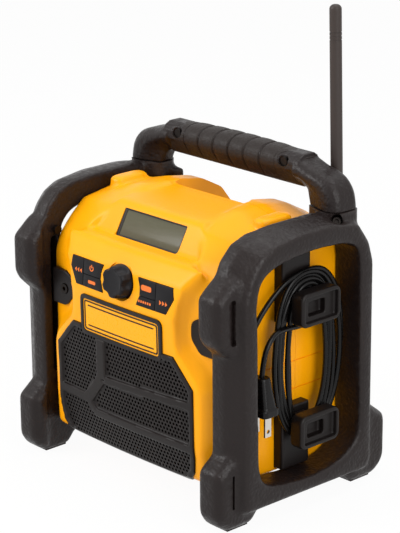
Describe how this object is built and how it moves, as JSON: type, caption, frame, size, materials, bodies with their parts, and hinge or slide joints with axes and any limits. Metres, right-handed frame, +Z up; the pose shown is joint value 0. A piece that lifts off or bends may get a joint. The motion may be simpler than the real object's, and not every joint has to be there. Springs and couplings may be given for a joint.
{
  "type": "jobsite radio",
  "caption": "Rugged yellow and black jobsite radio with roll-cage side frames, carry handle, rubber aerial, front loudspeaker grille, key panel and side cord wrap",
  "frame": {"origin": "middle of the footprint at floor level, under the centre of the bounding box", "axes": "+X to the radio's right as seen facing its front, +Y from front to back, +Z up"},
  "size_m": [0.26, 0.188, 0.3835],
  "materials": {
    "yellow": "satin, fine moulded texture",
    "black": "moulded with fine pebble grain",
    "rubber": "soft grip, ribbed",
    "key_rubber": "smooth silicone with printed symbols",
    "plate_yellow": "smooth with black printed border",
    "lens": "clear acrylic",
    "lcd": "grey-green liquid crystal",
    "board": "green board with dark parts",
    "cone": "coated paper",
    "steel": "plated",
    "brass": "plated blades",
    "cord": "vinyl, slight sheen",
    "iron": "laminated core and windings"
  },
  "bodies": {
    "radio": {"antenna_base": "rubber", "antenna_whip": "rubber", "aux_jack": "steel", "badge_plate": "plate_yellow", "battery_contacts": "steel", "battery_dock": "black", "cord_coil": "cord", "cord_gland": "cord", "cord_lead": "cord", "cord_rail": "black", "cord_tail": "cord", "display_lens": "lens", "display_module": "lcd", "door_hinge_pin": "steel", "door_seal": "rubber", "foot_pads": "rubber", "frame_screws": "steel", "front_housing": "yellow", "handle_bar": "black", "handle_grip": "rubber", "handle_screws": "steel", "housing_screws": "steel", "key_board": "board", "left_boss": "black", "left_side_frame": "black", "lower_cord_hook": "black", "main_board": "board", "plug_blades": "brass", "plug_body": "cord", "power_board": "board", "rear_housing": "yellow", "right_boss": "black", "right_side_frame": "black", "speaker_baskets": "iron", "speaker_cones": "cone", "speaker_grille": "black", "speaker_magnets": "iron", "transformer": "iron", "tuning_encoder": "steel", "upper_cord_hook": "black"},
    "tuning knob": {"tuning_knob": "key_rubber", "encoder_shaft": "steel"},
    "storage door": {"compartment_door": "yellow"},
    "door latch": {"door_latch": "black"},
    "seek down key": {"seek_down_key": "key_rubber"},
    "power key": {"power_key": "key_rubber"},
    "clock key": {"clock_key": "key_rubber"},
    "mode key": {"mode_key": "key_rubber"},
    "preset key": {"preset_key": "key_rubber"},
    "seek up key": {"seek_up_key": "key_rubber"}
  },
  "joints": [
    {"name": "tuning knob turn", "type": "hinge", "parent": "radio", "child": "tuning knob", "pos_m": [0, -0.08234, 0.17489], "axis": [0, -0.9959, 0.0906], "continuous": true},
    {"name": "seek down key press", "type": "slide", "parent": "radio", "child": "seek down key", "axis": [0, 0.9959, -0.0906], "range_m": [0, 0.001], "stiffness_N_per_m": 1500, "springref_m": -0.0003},
    {"name": "power key press", "type": "slide", "parent": "radio", "child": "power key", "axis": [0, 0.9959, -0.0906], "range_m": [0, 0.001], "stiffness_N_per_m": 1500, "springref_m": -0.0003},
    {"name": "clock key press", "type": "slide", "parent": "radio", "child": "clock key", "axis": [0, 0.9959, -0.0906], "range_m": [0, 0.001], "stiffness_N_per_m": 1500, "springref_m": -0.0003},
    {"name": "mode key press", "type": "slide", "parent": "radio", "child": "mode key", "axis": [0, 0.9959, -0.0906], "range_m": [0, 0.001], "stiffness_N_per_m": 1500, "springref_m": -0.0003},
    {"name": "preset key press", "type": "slide", "parent": "radio", "child": "preset key", "axis": [0, 0.9959, -0.0906], "range_m": [0, 0.001], "stiffness_N_per_m": 1500, "springref_m": -0.0003},
    {"name": "seek up key press", "type": "slide", "parent": "radio", "child": "seek up key", "axis": [0, 0.9959, -0.0906], "range_m": [0, 0.001], "stiffness_N_per_m": 1500, "springref_m": -0.0003},
    {"name": "storage door swing", "type": "hinge", "parent": "radio", "child": "storage door", "pos_m": [0, 0.0749, 0.0606], "axis": [-1, 0, 0], "range_deg": [0, 100]},
    {"name": "door latch slide", "type": "slide", "parent": "storage door", "child": "door latch", "axis": [0, 0, -1], "range_m": [0, 0.004], "stiffness_N_per_m": 300, "springref_m": -0.0015}
  ]
}
